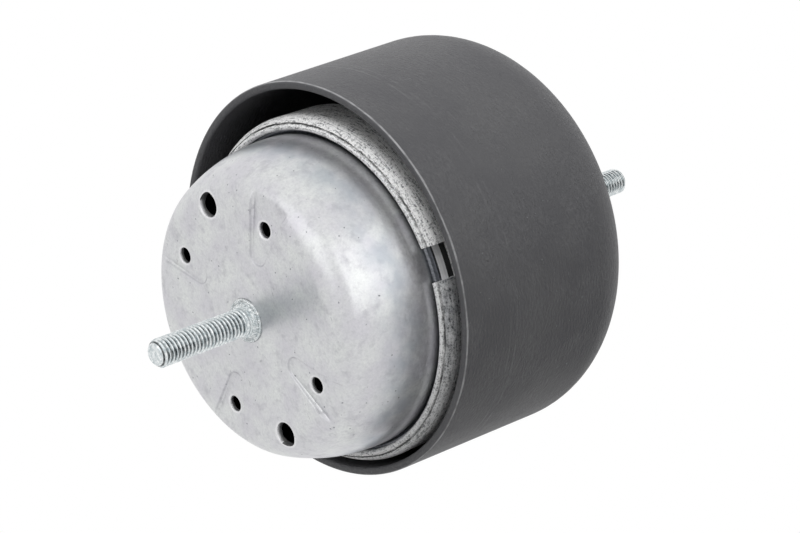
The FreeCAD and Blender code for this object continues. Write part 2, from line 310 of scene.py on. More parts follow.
def grain(tree, place, size_mm, detail=2.0, rough=0.5):
    """Noise whose blobs are about size_mm across, from 0 to 1."""
    return add(tree, "TexNoise", place, Scale=1 / (size_mm * MM), Detail=detail, Roughness=rough)


def ragged(tree, place, size_mm, by_mm):
    """Coordinates moved about by a noise, for outlines that aren't round or straight."""
    noise = add(tree, "TexNoise", place, Scale=1 / (size_mm * MM), Detail=2.0).node.outputs["Color"]
    centred = add(tree, "VectorMath", noise, (0.5, 0.5, 0.5), operation="SUBTRACT")
    shift = add(tree, "VectorMath", centred, operation="SCALE", Scale=2 * by_mm * MM)
    return add(tree, "VectorMath", place, shift)


def specks(tree, place, size_mm, share, radius=0.3, turn=None, stretch=(1, 1, 1)):
    """1 inside scattered specks, 0 outside; a share of the cells of size_mm has one.

    A turn in degrees and a stretch below 1 along an axis make them dashes that lie one way.
    """
    if turn:
        angles = [math.radians(a) for a in turn]
        place = add(tree, "Mapping", place, Rotation=angles, Scale=stretch)
    cells = add(tree, "TexVoronoi", place, Scale=1 / (size_mm * MM), Randomness=1.0).node.outputs
    draw = add(tree, "SeparateXYZ", cells["Color"])
    chosen = add(tree, "Math", draw, share, operation="LESS_THAN")
    near = add(tree, "MapRange", cells["Distance"], radius * 0.6, radius, 1, 0)
    return add(tree, "Math", chosen, near, operation="MULTIPLY")


def bumped(tree, shader, height, depth_mm):
    """Bump of the shader's normal, with a height of 0 to 1 standing for depth_mm."""
    normal = add(tree, "Bump", Height=height, Distance=depth_mm * MM, Strength=1.0)
    tree.links.new(normal, shader.inputs["Normal"])


def pad_outline(tree, place):
    """1 on the line where the pads are pressed in, 0 off it: the formula of pad_distance in nodes.

    The four pads mirror each other, so the sizes of x and y fold them onto one.
    """
    parts = add(tree, "SeparateXYZ", place).node.outputs
    size_x = add(tree, "Math", parts["X"], operation="ABSOLUTE")
    size_y = add(tree, "Math", parts["Y"], operation="ABSOLUTE")
    x = add(tree, "Math", size_x, MM, operation="DIVIDE")
    y = add(tree, "Math", size_y, MM, operation="DIVIDE")
    cosine, sine = polar(1, SMALL_HOLE_ANGLE)
    along = add(tree, "Math", add(tree, "Math", x, cosine, operation="MULTIPLY"),
                add(tree, "Math", y, sine, operation="MULTIPLY"), operation="ADD")
    across = add(tree, "Math", add(tree, "Math", y, cosine, operation="MULTIPLY"),
                 add(tree, "Math", x, sine, operation="MULTIPLY"), operation="SUBTRACT")
    off_x = add(tree, "Math", along, PAD_START_R + PAD_NOSE_R, operation="SUBTRACT")
    off_y = add(tree, "Math", across, operation="ABSOLUTE")
    flare_x, flare_y = polar(1, PAD_FLARE)
    past_nose = add(tree, "Math", add(tree, "Math", off_x, flare_x, operation="MULTIPLY"),
                    add(tree, "Math", off_y, flare_y, operation="MULTIPLY"), operation="ADD")
    beside = add(tree, "Math", add(tree, "Math", off_y, flare_x, operation="MULTIPLY"),
                 add(tree, "Math", off_x, flare_y, operation="MULTIPLY"), operation="SUBTRACT")
    square = add(tree, "Math", add(tree, "Math", off_x, off_x, operation="MULTIPLY"),
                 add(tree, "Math", off_y, off_y, operation="MULTIPLY"), operation="ADD")
    round_nose = add(tree, "Math", square, operation="SQRT")
    on_side = add(tree, "Math", past_nose, 0.0, operation="GREATER_THAN")
    distance = add(tree, "Math", add(tree, "Math", beside, on_side, operation="MULTIPLY"),
                   add(tree, "Math", round_nose, add(tree, "Math", 1.0, on_side, operation="SUBTRACT"),
                       operation="MULTIPLY"), operation="ADD")
    off_line = add(tree, "Math", add(tree, "Math", distance, PAD_NOSE_R, operation="SUBTRACT"),
                   operation="ABSOLUTE")
    on_face = add(tree, "MapRange", parts["Z"], 0.4 * MM, 1.1 * MM, 1, 0)
    return add(tree, "Math", add(tree, "MapRange", off_line, 0.05, 0.34, 1, 0), on_face,
               operation="MULTIPLY")


def hole_rim_highlights(tree, place):
    """1 on the half millimetre round each hole of the face, where a painted highlight marks the holes'
    edges.
    """
    parts = add(tree, "SeparateXYZ", place).node.outputs
    folded = add(tree, "VectorMath", add(tree, "CombineXYZ", parts["X"], parts["Y"]), operation="ABSOLUTE")
    rim_highlights = []
    for radius, middle in ((LARGE_HOLE_D / 2, (LARGE_HOLE_R, 0)),
                           (SMALL_HOLE_D / 2, polar(SMALL_HOLE_R, SMALL_HOLE_ANGLE))):
        centre = (middle[0] * MM, middle[1] * MM, 0)
        away = add(tree, "VectorMath", folded, centre, operation="DISTANCE").node.outputs["Value"]
        rim_highlights.append(add(tree, "MapRange", away, (radius + 0.35) * MM, (radius + 0.8) * MM, 1, 0))
    on_face = add(tree, "MapRange", parts["Z"], 1.3 * MM, 1.5 * MM, 1, 0)
    return add(tree, "Math", add(tree, "Math", *rim_highlights, operation="MAXIMUM"), on_face,
               operation="MULTIPLY")


def zinc_sheet():
    """Deep-drawn steel with a clear zinc plate: a pale satin metal, clouded, stained and pitted, with
    painted shade toward the mouth, at the ring and along the pads' edges, and a painted highlight round
    each hole.
    """
    finish, tree, shader, place = new_finish("satin_zinc_plate", Metallic=0.84)
    clouds = grain(tree, place, 9.0, 3.0)
    colour = add(tree, "MixRGB", add(tree, "MapRange", clouds, 0.35, 0.65, 0, 1), "#D6D5DA", "#E2E4E3")
    stains = add(tree, "MapRange", grain(tree, place, 5.0, 5.0, rough=0.65), 0.54, 0.7, 0, 0.5)
    colour = add(tree, "MixRGB", stains, colour, "#AEADB4")
    smears = add(tree, "MapRange", grain(tree, place, 1.6, 4.0, rough=0.7), 0.5, 0.72, 0, 0.45)
    colour = add(tree, "MixRGB", smears, colour, "#B4B5B8")
    # Painted shade: the wall between about 8 and 24 mm up is painted bluish dark, for the dark reflection
    # of the cover near the mouth.
    height_z = add(tree, "SeparateXYZ", ragged(tree, place, 6.0, 2.5)).node.outputs["Z"]
    mouth_shade_band = add(tree, "Math", add(tree, "MapRange", height_z, 8 * MM, 15 * MM, 0, 0.6),
               add(tree, "MapRange", height_z, 18 * MM, 24 * MM, 1, 0), operation="MULTIPLY")
    mouth_shade = add(tree, "Math", mouth_shade_band,
               add(tree, "MapRange", grain(tree, place, 7.0, 3.0), 0.35, 0.6, 0.2, 1.0),
               operation="MULTIPLY")
    colour = add(tree, "MixRGB", mouth_shade, colour, "#9EA8B2")
    # Painted shade: the can darkens toward the ring's bead, where the crevice between the parts lies in
    # shade.
    crevice_shade = add(tree, "MapRange", add(tree, "SeparateXYZ", place).node.outputs["Z"],
                  (BEAD_Z - 0.1) * MM, (BEAD_Z + 0.9) * MM, 0, 0.9)
    colour = add(tree, "MixRGB", crevice_shade, colour, "#4C5058")
    uneven = ragged(tree, place, 0.8, 0.35)
    pits = specks(tree, uneven, 2.0, 0.20, 0.14)
    colour = add(tree, "MixRGB", pits, colour, "#808388")
    scratch = add(tree, "Math", specks(tree, uneven, 1.5, 0.3, 0.11, (20, 0, 35), (0.16, 1, 1)),
                  specks(tree, uneven, 1.8, 0.28, 0.09, (0, 30, -50), (0.14, 1, 1)),
                  operation="MAXIMUM")
    colour = add(tree, "MixRGB", add(tree, "Math", scratch, 0.5, operation="MULTIPLY"), colour,
                 "#8F9094")
    # Painted shade: a dark line along the pads' pressed edges, where their steps lie in shade; the bump
    # below also sinks the same line a little.
    pad_edge_shade = pad_outline(tree, place)
    colour = add(tree, "MixRGB", add(tree, "Math", pad_edge_shade, 0.32, operation="MULTIPLY"), colour,
                 "#7E7E88")
    # Painted highlight: a pale ring round each hole, for the light its edge catches.
    rim_highlights = hole_rim_highlights(tree, place)
    colour = add(tree, "MixRGB", add(tree, "Math", rim_highlights, 0.7, operation="MULTIPLY"), colour, "#F4F4F5")
    fine = grain(tree, place, 0.7, 4.0, rough=0.6)
    colour = add(tree, "MixRGB", add(tree, "MapRange", fine, 0.4, 0.62, 0.25, 0), colour, "#B4B5BA")
    tree.links.new(colour, shader.inputs["Base Color"])
    dull = add(tree, "Math", add(tree, "MapRange", fine, 0.3, 0.7, 0.28, 0.4),
               add(tree, "Math", stains, 0.14, operation="MULTIPLY"), operation="ADD")
    tree.links.new(dull, shader.inputs["Roughness"])
    height = add(tree, "Math", add(tree, "Math", fine, 0.22, operation="MULTIPLY"),
                 grain(tree, place, 4.0, 2.0), operation="ADD")
    marks = add(tree, "Math", pits, scratch, operation="MAXIMUM")
    height = add(tree, "Math", height, add(tree, "Math", marks, 0.5, operation="MULTIPLY"),
                 operation="SUBTRACT")
    height = add(tree, "Math", height, add(tree, "Math", pad_edge_shade, 0.4, operation="MULTIPLY"),
                 operation="SUBTRACT")
    bumped(tree, shader, height, 0.07)
    return finish


def dull_zinc():
    """Turned steel ring with a dull zinc plate: pale and even, with faint turning lines."""
    finish, tree, shader, place = new_finish("dull_zinc_plate", Metallic=0.0)
    lines = grain(tree, around(tree, place, 0.001), 0.5, 2.0)
    colour = add(tree, "MixRGB", add(tree, "MapRange", lines, 0.35, 0.65, 0, 1), "#E6E6EA", "#FBFBFB")
    tree.links.new(colour, shader.inputs["Base Color"])
    tree.links.new(add(tree, "MapRange", lines, 0.3, 0.7, 0.36, 0.48), shader.inputs["Roughness"])
    bumped(tree, shader, lines, 0.03)
    return finish


def zinc_stud():
    """Rolled thread with a bright zinc plate: a cool, shiny metal, with painted shade in the roots."""
    finish, tree, shader, place = new_finish("bright_zinc_plate", Metallic=1.0)
    clouds = grain(tree, place, 1.1, 4.0, rough=0.65)
    colour = add(tree, "MixRGB", add(tree, "MapRange", clouds, 0.35, 0.65, 0, 1), "#B4BDC0", "#F4F7F7")
    parts = add(tree, "SeparateXYZ", around(tree, place, 1.0)).node.outputs
    # Painted shade: the thread's roots are painted dark, for the shade between the flanks.
    root = add(tree, "Math", add(tree, "MapRange", parts["X"], 3.1 * MM, 3.2 * MM, 0, 1),
               add(tree, "MapRange", parts["X"], 3.38 * MM, 3.62 * MM, 1, 0), operation="MULTIPLY")
    patchy = add(tree, "MapRange", grain(tree, place, 1.4, 4.0), 0.35, 0.6, 0.55, 1.0)
    colour = add(tree, "MixRGB", add(tree, "Math", root, patchy, operation="MULTIPLY"), colour,
                 "#1C2022")
    worked = add(tree, "MapRange", parts["X"], 4.15 * MM, 4.5 * MM, 0, 1)
    torn = grain(tree, place, 0.42, 4.0, rough=0.75)
    scars = add(tree, "Math", add(tree, "MapRange", torn, 0.4, 0.54, 0.42, 0), worked,
                operation="MULTIPLY")
    colour = add(tree, "MixRGB", scars, colour, "#3E4345")
    tree.links.new(colour, shader.inputs["Base Color"])
    tree.links.new(add(tree, "MapRange", clouds, 0.3, 0.7, 0.11, 0.24), shader.inputs["Roughness"])
    height = add(tree, "Math", add(tree, "Math", torn, worked, operation="MULTIPLY"),
                 add(tree, "Math", clouds, 0.12, operation="MULTIPLY"), operation="ADD")
    bumped(tree, shader, height, 0.22)
    return finish


def around(tree, place, squeeze):
    """Coordinates (radius, height, angle * squeeze), on which a noise makes streaks round Z."""
    parts = add(tree, "SeparateXYZ", place).node.outputs
    flat = add(tree, "Math", add(tree, "Math", parts["X"], parts["X"], operation="MULTIPLY"),
               add(tree, "Math", parts["Y"], parts["Y"], operation="MULTIPLY"), operation="ADD")
    angle = add(tree, "Math", parts["Y"], parts["X"], operation="ARCTAN2")
    return add(tree, "CombineXYZ", add(tree, "Math", flat, operation="SQRT"), parts["Z"],
               add(tree, "Math", angle, squeeze, operation="MULTIPLY"))


def rolled_ring():
    """Steel rolled over cold, its zinc broken by the rollers: a rough, pale grain with streaks.

    Past the slot the wall is painted darker as painted shade, and a broken dark line along the fold is
    painted shade in its crease.
    """
    finish, tree, shader, place = new_finish("rough_rolled_zinc", Metallic=0.0)
    coarse = grain(tree, place, 0.8, 5.0, rough=0.85)
    fine = grain(tree, place, 0.42, 3.0, rough=0.8)
    streak = grain(tree, around(tree, place, 0.006), 0.45, 2.0)
    mixed = add(tree, "Math", add(tree, "Math", coarse, 0.5, operation="MULTIPLY"),
                add(tree, "Math", add(tree, "Math", fine, streak, operation="ADD"), 0.25,
                    operation="MULTIPLY"), operation="ADD")
    colour = add(tree, "MixRGB", add(tree, "MapRange", mixed, 0.42, 0.51, 0, 1), "#6E7074", "#FEFEFE")
    rolled = add(tree, "SeparateXYZ", around(tree, ragged(tree, place, 1.1, 0.32), 1.0)).node.outputs
    radius, angle = rolled["X"], rolled["Z"]
    # Painted shade: past the slot the ring's wall is painted darker, for the shade that falls there.
    past_slot = add(tree, "Math", add(tree, "MapRange", angle, math.radians(SLOT_ANGLE),
                                      math.radians(SLOT_ANGLE + 5), 0, 1),
                    add(tree, "MapRange", angle, math.radians(105), math.radians(165), 1, 0.1),
                    operation="MULTIPLY")
    on_wall = add(tree, "MapRange", radius, (FOLD_R - 0.2) * MM, (FOLD_R + 0.5) * MM, 0.15, 1)
    shade_past_slot = add(tree, "Math", add(tree, "Math", past_slot, on_wall, operation="MULTIPLY"),
                  add(tree, "MapRange", grain(tree, place, 2.2, 4.0), 0.3, 0.6, 0.5, 0.95),
                  operation="MULTIPLY")
    colour = add(tree, "MixRGB", shade_past_slot, colour,
                 add(tree, "MixRGB", add(tree, "MapRange", mixed, 0.42, 0.53, 0, 1), "#38393C",
                     "#A0A2A6"))
    # Painted shade: a broken dark line along the fold, for the shade in its crease.
    off_fold = add(tree, "Math", add(tree, "Math", radius, FOLD_R * MM, operation="SUBTRACT"),
                   operation="ABSOLUTE")
    fold_shade = add(tree, "Math", add(tree, "MapRange", off_fold, 0.12 * MM, 0.34 * MM, 1, 0),
                add(tree, "MapRange", grain(tree, place, 5.0, 3.0), 0.36, 0.56, 0.2, 0.9),
                operation="MULTIPLY")
    in_foot = add(tree, "MapRange", add(tree, "SeparateXYZ", place).node.outputs["Z"],
                  (BEAD_Z + 0.9) * MM, (BEAD_Z + 1.4) * MM, 1, 0)
    fold_shade = add(tree, "Math", fold_shade, in_foot, operation="MULTIPLY")
    tree.links.new(add(tree, "MixRGB", fold_shade, colour, "#2A2B2D"), shader.inputs["Base Color"])
    tree.links.new(add(tree, "MapRange", fine, 0.3, 0.7, 0.4, 0.6), shader.inputs["Roughness"])
    bumped(tree, shader, mixed, 0.62)
    return finish


def dip_coat():
    """Steel with a baked dip coat: an even dark grey, an eggshell skin, with grit and light rubs.

    Rubs lie in patches and run round the cover, and two faint lines were drawn round its wall.
    """
    finish, tree, shader, place = new_finish("dark_dip_coat", Metallic=0.0, IOR=1.5)
    clouds = grain(tree, place, 22.0, 3.0)
    colour = add(tree, "MixRGB", add(tree, "MapRange", clouds, 0.35, 0.65, 0, 1), "#48484B", "#4F4F51")
    patches = add(tree, "MapRange", grain(tree, place, 12.0, 3.0), 0.4, 0.62, 0.45, 1)
    streaks = grain(tree, around(tree, ragged(tree, place, 4.0, 1.0), 0.016), 0.62, 3.0)
    drag = add(tree, "MapRange", streaks, 0.3, 0.7, 0, 1)
    dabs = add(tree, "MapRange", grain(tree, place, 0.9, 4.0, rough=0.7), 0.3, 0.7, 0, 1)
    wear = add(tree, "Math", add(tree, "Math", add(tree, "Math", drag, 0.6, operation="MULTIPLY"),
                                 add(tree, "Math", dabs, 0.4, operation="MULTIPLY"), operation="ADD"),
               patches, operation="MULTIPLY")
    colour = add(tree, "MixRGB", add(tree, "MapRange", wear, 0.3, 0.75, 0, 0.35), colour, "#646466")
    uneven = ragged(tree, place, 0.9, 0.3)
    rubs = add(tree, "Math", specks(tree, uneven, 1.5, 0.22, 0.12, (0, 60, 20), (0.22, 1, 1)),
               specks(tree, uneven, 1.7, 0.2, 0.12, (70, 10, -40), (0.25, 1, 1)), operation="MAXIMUM")
    colour = add(tree, "MixRGB", add(tree, "Math", rubs, 0.5, operation="MULTIPLY"), colour, "#6E7073")
    grit = specks(tree, uneven, 2.4, 0.22, 0.13)
    colour = add(tree, "MixRGB", add(tree, "Math", grit, 0.6, operation="MULTIPLY"), colour, "#7A7C7E")
    height_z = add(tree, "SeparateXYZ", ragged(tree, place, 9.0, 0.3)).node.outputs["Z"]
    lines = []
    for z in DRAW_LINES_Z:
        above = add(tree, "Math", height_z, z * MM, operation="SUBTRACT")
        off_line = add(tree, "Math", above, operation="ABSOLUTE")
        lines.append(add(tree, "MapRange", off_line, 0.15 * MM, 0.55 * MM, 1, 0))
    drawn = add(tree, "Math", add(tree, "Math", *lines, operation="MAXIMUM"),
                add(tree, "MapRange", grain(tree, place, 7.0, 2.0), 0.4, 0.65, 0.0, 0.4),
                operation="MULTIPLY")
    colour = add(tree, "MixRGB", drawn, colour, "#6A6A6C")
    # Painted highlight: a pale line round the outer edge of the rim, for the light its rounded edge
    # catches.
    on_axis = add(tree, "VectorMath", place, (BELL_OFFSET_X * MM, 0, 0), operation="SUBTRACT")
    radius = add(tree, "SeparateXYZ", around(tree, on_axis, 1.0))
    edge = add(tree, "Math",
               add(tree, "MapRange", height_z, (BELL_RIM_Z + 0.5) * MM, (BELL_RIM_Z + 0.8) * MM, 1, 0),
               add(tree, "MapRange", radius, (BELL_RIM_R - 0.28) * MM, (BELL_RIM_R - 0.14) * MM, 0, 1),
               operation="MULTIPLY")
    coat_rim_highlight = add(tree, "Math", edge,
                 add(tree, "MapRange", grain(tree, place, 3.0, 3.0), 0.3, 0.6, 0.4, 1.0),
                 operation="MULTIPLY")
    colour = add(tree, "MixRGB", coat_rim_highlight, colour, "#A4A4A6")
    tree.links.new(colour, shader.inputs["Base Color"])
    fine = grain(tree, place, 0.6, 3.0, rough=0.6)
    tree.links.new(add(tree, "MapRange", fine, 0.3, 0.7, 0.42, 0.56), shader.inputs["Roughness"])
    height = add(tree, "Math", add(tree, "Math", fine, 0.12, operation="MULTIPLY"), wear,
                 operation="ADD")
    raised = add(tree, "Math", add(tree, "Math", rubs, grit, operation="MAXIMUM"), drawn,
                 operation="MAXIMUM")
    height = add(tree, "Math", height, add(tree, "Math", raised, 0.8, operation="MULTIPLY"),
                 operation="ADD")
    bumped(tree, shader, height, 0.30)
    return finish


def black_rubber():
    """Moulded natural rubber: matt black with a fine grain and a faint bloom."""
    finish, tree, shader, place = new_finish("moulded_rubber", Metallic=0.0, IOR=1.52)
    bloom = grain(tree, place, 6.0, 3.0)
    tree.links.new(add(tree, "MixRGB", bloom, "#141415", "#232324"), shader.inputs["Base Color"])
    fine = grain(tree, place, 0.5, 2.0)
    tree.links.new(add(tree, "MapRange", fine, 0.3, 0.7, 0.58, 0.74), shader.inputs["Roughness"])
    bumped(tree, shader, fine, 0.03)
    return finish


def cast_metal():
    """Pressure die-cast aluminium: pale grey, matt, with a fine skin."""
    finish, tree, shader, place = new_finish("die_cast_aluminium", Metallic=1.0)
    flow = grain(tree, place, 3.0, 4.0)
    tree.links.new(add(tree, "MixRGB", flow, "#B2B4B6", "#C9CACB"), shader.inputs["Base Color"])
    skin_grain = grain(tree, place, 0.4, 3.0)
    tree.links.new(add(tree, "MapRange", skin_grain, 0.3, 0.7, 0.42, 0.56), shader.inputs["Roughness"])
    bumped(tree, shader, skin_grain, 0.04)
    return finish


def phosphated():
    """Phosphated steel: dull dark grey with a crystalline grain."""
    finish, tree, shader, place = new_finish("phosphated_steel", Metallic=1.0)
    crystals = grain(tree, place, 0.5, 3.0)
    tree.links.new(add(tree, "MixRGB", crystals, "#5E6062", "#828486"), shader.inputs["Base Color"])
    tree.links.new(add(tree, "MapRange", crystals, 0.3, 0.7, 0.52, 0.66), shader.inputs["Roughness"])
    bumped(tree, shader, crystals, 0.02)
    return finish


def dress(piece, finish):
    """Give an object one finish in all its slots."""
    piece.data.materials.clear()
    piece.data.materials.append(finish)


def mount(piece, node, finish):
    """Let a piece stand for a CAD node, ride on the body and carry its finish."""
    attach(piece, "root")
    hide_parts(node)
    dress(piece, finish)


# Pieces

def smooth_step(value):
    """0 below 0, 1 above 1, and 3 t^2 - 2 t^3 between."""
    held = np.clip(value, 0, 1)
    return held * held * (3 - 2 * held)


def pad_distance(x, y, grow=0.0):
    """Signed distance to a tongue that widens outward from a round nose, negative inside.

    The tongue is the nose circle and the band between the two lines that touch it and open by
    the flare on each side: off the nose it is the distance to the nearer line.
    """
    flare = math.radians(PAD_FLARE)
    off_x, off_y = x - PAD_START_R - PAD_NOSE_R, np.abs(y)
    along = off_x * math.cos(flare) + off_y * math.sin(flare)
    aside = -off_x * math.sin(flare) + off_y * math.cos(flare)
    return np.where(along > 0, aside, np.hypot(off_x, off_y)) - PAD_NOSE_R - grow


def pressed(grid, lift, grow, edge):
    """Grid of the can with the four pads pressed in.

    Inside a pad the height is at least the pad's plane, depth + (x - start) * tan(slope) + lift,
    and the step at its edge is smoothed over the width of edge.
    """
    pressed_in = grid.copy()
    for turn in (SMALL_HOLE_ANGLE, 180 - SMALL_HOLE_ANGLE, 180 + SMALL_HOLE_ANGLE, -SMALL_HOLE_ANGLE):
        cosine, sine = polar(1, turn)
        x = grid[..., 0] * cosine + grid[..., 1] * sine
        y = grid[..., 1] * cosine - grid[..., 0] * sine
        plane = PAD_DEPTH + lift + (x - PAD_START_R) * math.tan(math.radians(PAD_SLOPE))
        inside = smooth_step(0.5 - pad_distance(x, y, grow) / edge) * (x > 0)
        pressed_in[..., 2] += inside * np.maximum(plane - grid[..., 2], 0)
    return pressed_in


def can_columns():
    """Angles round the can, close together beside the pads' edges and wider elsewhere."""
    even = np.linspace(0, 2 * math.pi, 3600, endpoint=False)
    weight = np.ones_like(even)
    for turn in (SMALL_HOLE_ANGLE, 180 - SMALL_HOLE_ANGLE, 180 + SMALL_HOLE_ANGLE, -SMALL_HOLE_ANGLE):
        off = np.abs((np.degrees(even) - turn + 180) % 360 - 180)
        weight += 2.5 * (off < 18)
    share = np.concatenate([[0], np.cumsum(weight)])
    return np.interp(np.linspace(0, share[-1], 540, endpoint=False), share, np.append(even, 2 * math.pi))


def can_shell():
    """Can: its outline turned about Z, with the pads pressed into both faces.

    The flange is squeezed thin under the ring: its outer side runs on past the flange's height.
    """
    turn = math.radians(CAN_CORNER_TURN)
    rise = CAN_FLANGE_Z - CAN_MOUTH_BEND - CAN_MOUTH_STRAIGHT - CAN_CORNER_R * (1 - math.cos(turn))
    wall_r = rise / math.cos(turn)
    face_r = CAN_MOUTH_R - wall_r * (1 - math.sin(turn)) - CAN_CORNER_R * math.sin(turn)
    hole_r = COLLAR_D / 2 + COLLAR_PLAY
    drawn = [("line", face_r - hole_r), ("arc", CAN_CORNER_R, CAN_CORNER_TURN),
             ("arc", wall_r, 90 - CAN_CORNER_TURN)]
    bend = [("arc", CAN_MOUTH_BEND, -90), ("line", CAN_FLANGE_W)]
    squeezed = [("line", CAN_MOUTH_STRAIGHT + CAN_SHEET - CAN_LIP_T)]
    outer = walk((hole_r, 0), 0, drawn + squeezed + bend, 0.42)
    steps = drawn + [("line", CAN_MOUTH_STRAIGHT)] + bend
    back = [s if s[0] == "line" else (s[0], s[1] - math.copysign(CAN_SHEET, s[2]), s[2]) for s in steps]
    inner = walk((hole_r, CAN_SHEET), 0, back, 1.2)
    angle = can_columns()
    grids = []
    for path, lift, grow, edge in ((outer, 0.0, 0.0, 0.55), (inner, PAD_WALL, PAD_WALL, 2.0)):
        radius, height = path[:, 0, None], path[:, 1, None]
        grid = np.stack([radius * np.cos(angle), radius * np.sin(angle), height + 0 * angle], axis=-1)
        grids.append(pressed(grid, lift, grow, edge))
    return skin("drawn_can", np.concatenate([grids[0], grids[1][::-1]]), sharp=55)


def hole_cutter(radius, x, y, z):
    """Round cutter along Z, widened by a small bevel where it meets the face at height z."""
    bevel = 0.22
    outline = [(0, z - 3), (radius + bevel + 3, z - 3), (radius, z + bevel), (radius, z + 5), (0, z + 5)]
    return skin("cutter", turned(np.array(outline, float), 48) + np.array([x, y, 0]), closed=False)


def lower_can():
    """Can with its two large holes and, in the pads, its four small ones."""
    can = can_shell()
    cutters = [hole_cutter(LARGE_HOLE_D / 2, side * LARGE_HOLE_R, 0, 0) for side in (1, -1)]
    pad_floor = PAD_DEPTH + (SMALL_HOLE_R - PAD_START_R) * math.tan(math.radians(PAD_SLOPE))
    for turn in (SMALL_HOLE_ANGLE, 180 - SMALL_HOLE_ANGLE, 180 + SMALL_HOLE_ANGLE, -SMALL_HOLE_ANGLE):
        x, y = polar(SMALL_HOLE_R, turn)
        cutters.append(hole_cutter(SMALL_HOLE_D / 2, x, y, pad_floor))
    return cut(can, cutters, sharp=55)


def crimp_ring():
    """Rolled ring: its outline turned about Z, with the slot cut out of its lower edge.

    The fold between bead and wall wanders by a sum of waves round the ring, as rolling leaves it.
    """
    bead_out = RING_LIP_INNER_R + 2 * BEAD_R
    bead = walk((RING_LIP_INNER_R, BEAD_Z), -90, [("arc", BEAD_R, 180)], 0.2)
    fold = [(bead_out + 0.05, BEAD_Z + 0.2), (bead_out + FOLD_W / 2, BEAD_Z + FOLD_DEPTH),
            (bead_out + FOLD_W - 0.05, BEAD_Z + 0.15)]
    foot = (bead_out + FOLD_W, BEAD_Z)
    tilt = math.degrees(math.acos((foot[0] - RING_R + RING_ROLL_R) / RING_ROLL_R))
    wall_h = RING_TOP - RING_TOP_R - BEAD_Z - RING_ROLL_R * math.sin(math.radians(tilt))
    rise = [("arc", RING_ROLL_R, tilt), ("line", wall_h), ("arc", RING_TOP_R, 90)]
    wall = walk(foot, 90 - tilt, rise, 0.3)
    inner = [(RING_BORE_R - RING_UPPER_LIP, RING_TOP), (RING_BORE_R - RING_UPPER_LIP, RING_STACK_TOP),
             (RING_BORE_R, RING_STACK_TOP), (RING_BORE_R, CAN_FLANGE_Z), (RING_LIP_INNER_R, CAN_FLANGE_Z)]
    grid = turned(np.concatenate([bead, fold, wall, inner]), 720)
    angle = np.linspace(0, 2 * math.pi, 720, endpoint=False)
    wander = (0.10 * np.sin(23 * angle + 2 * np.sin(5 * angle))
              + 0.08 * np.sin(61 * angle + 3 * np.sin(9 * angle)))
    rows = np.arange(len(bead) - 3, len(bead) + len(fold) + 2)
    scale = 1 + wander / RING_R
    grid[rows, :, :2] *= scale[None, :, None]
    ring = skin("rolled_ring", grid)
    half, (inner_r, outer_r), below = SLOT_WIDTH / 2, SLOT_REACH, BEAD_Z - 7.5
    box = np.array([[radius, across, z] for z in (below, SLOT_TOP)
                    for radius, across in ((inner_r, -half), (inner_r, half),
                                           (outer_r, half), (outer_r, -half))])
    cosine, sine = polar(1, SLOT_ANGLE)
    spun = np.column_stack([box[:, 0] * cosine - box[:, 1] * sine,
                            box[:, 0] * sine + box[:, 1] * cosine, box[:, 2]])
    mesh = bpy.data.meshes.new("slot_cutter")
    mesh.from_pydata((spun * MM).tolist(), [], [(0, 1, 2, 3), (7, 6, 5, 4), (0, 4, 5, 1), (1, 5, 6, 2),
                                                (2, 6, 7, 3), (3, 7, 4, 0)])
    cutter = bpy.data.objects.new("slot_cutter", mesh)
    bpy.context.scene.collection.objects.link(cutter)
    return cut(ring, [cutter])


def bell_cover():
    """Cover: a sheet outline of wall, shoulder, slope and crown, turned about an axis beside Z.

    Across the flat of the crown the axis moves back to Z, so that the hole fits the stud.
    """
    lean = 90 - BELL_TAPER
    slope = 180 - BELL_SLOPE
    wall = ("line", BELL_WALL_H / math.sin(math.radians(lean)))
    shoulder = ("arc", BELL_SHOULDER_R, slope - lean)
    bend = ("arc", CROWN_BEND_R, 90 - slope)
    rim = (BELL_RIM_R, BELL_RIM_Z)
    shoulder_end = walk(rim, lean, [wall, shoulder])[-1]
    bend_reach = CROWN_BEND_R * (1 - math.sin(math.radians(BELL_SLOPE)))
    top_run = (shoulder_end[0] - bend_reach - CROWN_R) / math.cos(math.radians(BELL_SLOPE))
    crown_foot = walk(shoulder_end, slope, [("line", top_run), bend])[-1]
    crown_rise = SEAT_Z - CROWN_BEND_R - crown_foot[1]
    flat = CROWN_R - CROWN_BEND_R
    hole_r = COLLAR_D / 2 + COLLAR_PLAY
    steps = [wall, shoulder, ("line", top_run), bend, ("line", crown_rise),
             ("arc", CROWN_BEND_R, 90), ("line", flat - hole_r)]
    outline = softened(sheet_outline(rim, lean, steps, BELL_SHEET, 1.6), 0.8, rounds=8)
    grid = turned(outline, 300)
    on_axis = np.clip((outline[:, 0] - hole_r) / (flat - hole_r), 0, 1)
    grid[..., 0] += BELL_OFFSET_X * on_axis[:, None]
    return skin("coated_cover", grid)


